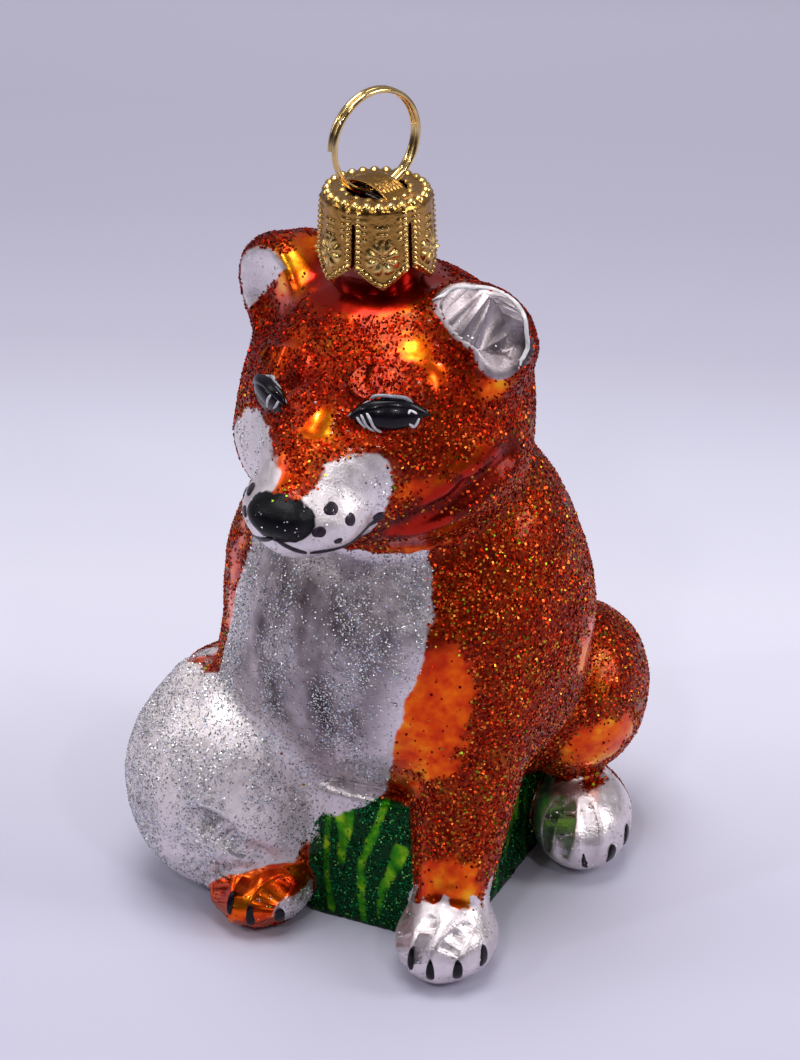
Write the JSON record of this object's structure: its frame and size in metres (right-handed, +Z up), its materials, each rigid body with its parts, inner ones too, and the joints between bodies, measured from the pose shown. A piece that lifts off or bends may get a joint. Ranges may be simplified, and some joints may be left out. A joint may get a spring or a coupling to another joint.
{
  "type": "fox figurine ornament",
  "caption": "Sitting fox of blown glass with a tail curled to the front, a stamped petal cap on its head and a split ring for hanging.",
  "frame": {"origin": "on the surface that the fox stands on, under the middle of the figure's length and width", "axes": "+Z up, the fox faces -Y, its left side is +X"},
  "size_m": [0.0488, 0.0496, 0.0882],
  "materials": {
    "lacquered_glass": "silvered inside, with orange candy lacquer, satin silver and glitter outside, opaque",
    "stamped_cap": "embossed, bright gold colour",
    "ring_wire": "bright",
    "spring_wire": "drawn wire"
  },
  "bodies": {
    "fox": {"glass_fox": "lacquered_glass"},
    "capping": {"cap": "stamped_cap", "spring_clip": "spring_wire"},
    "ring": {"hanging_ring": "ring_wire"}
  },
  "joints": [
    {"name": "cap_pull", "type": "slide", "parent": "fox", "child": "capping", "axis": [0, 0, 1], "range_m": [0, 0.014]},
    {"name": "ring_lean", "type": "hinge", "parent": "capping", "child": "ring", "pos_m": [0.00122, -0.00161, 0.07862], "axis": [0.4289, 0.9033, 0], "range_deg": [-35, 35]}
  ]
}
